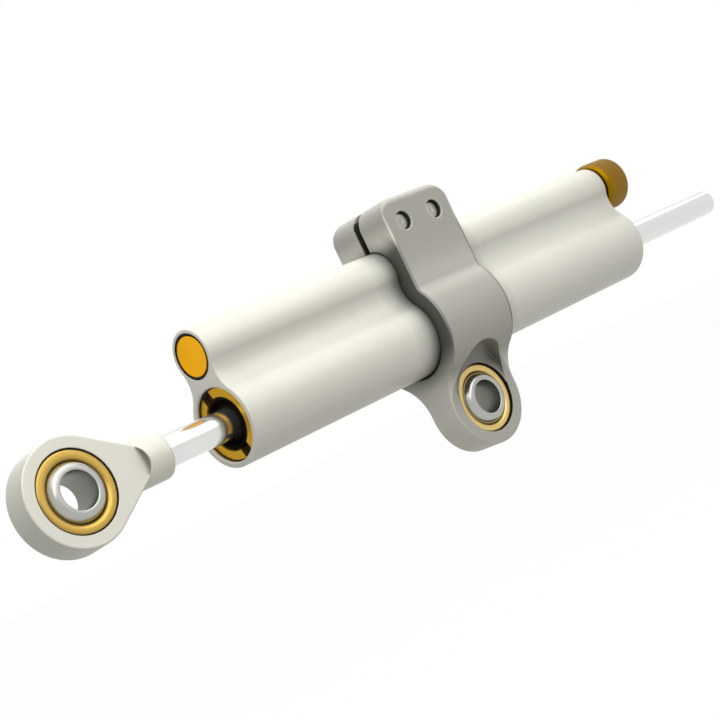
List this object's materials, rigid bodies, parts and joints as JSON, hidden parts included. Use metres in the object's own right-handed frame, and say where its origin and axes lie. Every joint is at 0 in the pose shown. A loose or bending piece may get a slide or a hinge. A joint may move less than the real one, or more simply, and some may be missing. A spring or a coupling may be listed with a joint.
{
  "type": "steering damper",
  "caption": "Motorcycle steering damper: a rod runs through a tubular body with an adjuster knob, and ball joints sit in a clamp on the body and in the rod's eye.",
  "frame": {"origin": "middle of the clamp's ball joint", "axes": "+X along the rod towards the adjuster knob and the rod's free tip, -Y along the ball joint's bore towards the front, +Z from the ball joint up to the body"},
  "size_m": [0.2873, 0.0316, 0.0742],
  "materials": {
    "body_aluminium": "satin clear anodised",
    "clamp_aluminium": "bead blasted, hard anodised",
    "inner_aluminium": "turned",
    "gold_aluminium": "gold anodised",
    "knob_aluminium": "dark gold anodised, knurled",
    "race_bronze": "turned",
    "bush_bronze": "turned",
    "valve_brass": "turned",
    "rod_chrome": "hard chromed and polished",
    "ball_steel": "polished",
    "screw_steel": "stainless",
    "black_rubber": "moulded",
    "black_steel": "blackened",
    "ring_plastic": "filled fluoropolymer"
  },
  "bodies": {
    "cylinder": {"barrel": "body_aluminium", "clamp": "clamp_aluminium", "clamp_screws": "screw_steel", "clamp_race": "race_bronze", "front_seal_head": "gold_aluminium", "front_head_ring": "black_rubber", "front_rod_bush": "bush_bronze", "front_rod_seal": "black_rubber", "front_wiper": "black_rubber", "rear_seal_head": "gold_aluminium", "rear_head_ring": "black_rubber", "rear_rod_bush": "bush_bronze", "rear_rod_seal": "black_rubber", "rear_wiper": "black_rubber", "reservoir_plug": "gold_aluminium", "plug_ring": "black_rubber", "plug_snap_ring": "black_steel", "separator_spring": "screw_steel", "valve_seat": "valve_brass", "needle_ring": "black_rubber", "adjuster_housing": "valve_brass", "housing_ring": "black_rubber", "spindle_ring": "black_rubber", "detent_ball": "ball_steel", "detent_spring": "screw_steel"},
    "frame_ball": {"clamp_ball": "ball_steel"},
    "piston_carrier": {"piston_band": "ring_plastic"},
    "rod_group": {"rod": "rod_chrome", "piston": "inner_aluminium", "piston_inner_ring": "black_rubber", "piston_clips": "screw_steel", "rod_end": "body_aluminium", "rod_end_race": "race_bronze"},
    "eye_ball": {"rod_end_ball": "ball_steel"},
    "knob_group": {"adjuster_knob": "knob_aluminium", "knob_screw": "screw_steel", "adjuster_spindle": "screw_steel"},
    "needle": {"valve_needle": "screw_steel"},
    "separator_group": {"separator": "inner_aluminium", "separator_ring": "black_rubber"}
  },
  "joints": [
    {"name": "rod_slide", "type": "slide", "parent": "cylinder", "child": "piston_carrier", "axis": [1, 0, 0], "range_m": [-0.0507, 0.0173]},
    {"name": "rod_turn", "type": "hinge", "parent": "piston_carrier", "child": "rod_group", "pos_m": [0.0183, 0, 0.0235], "axis": [1, 0, 0], "continuous": true},
    {"name": "rod_end_swivel", "type": "hinge", "parent": "rod_group", "child": "eye_ball", "pos_m": [-0.1317, 0, 0.0235], "axis": [0, -0.9962, 0.0872], "continuous": true},
    {"name": "frame_pivot_swivel", "type": "hinge", "parent": "cylinder", "child": "frame_ball", "pos_m": [0, 0, 0], "axis": [0, -1, 0], "continuous": true},
    {"name": "knob_turn", "type": "hinge", "parent": "cylinder", "child": "knob_group", "pos_m": [0.0925, 0, 0.0422], "axis": [1, 0, 0], "range_deg": [-540, 540]},
    {"name": "needle_travel", "type": "slide", "parent": "cylinder", "child": "needle", "axis": [1, 0, 0], "range_m": [-0.00112, 0.00112]},
    {"name": "separator_slide", "type": "slide", "parent": "cylinder", "child": "separator_group", "axis": [1, 0, 0], "range_m": [-0.004, 0.0015], "stiffness_N_per_m": 1500, "deforming": ["separator_spring"]}
  ],
  "couplings": [
    {"joint": "knob_turn", "follows": "needle_travel", "rad_per_m": 8377.6}
  ]
}
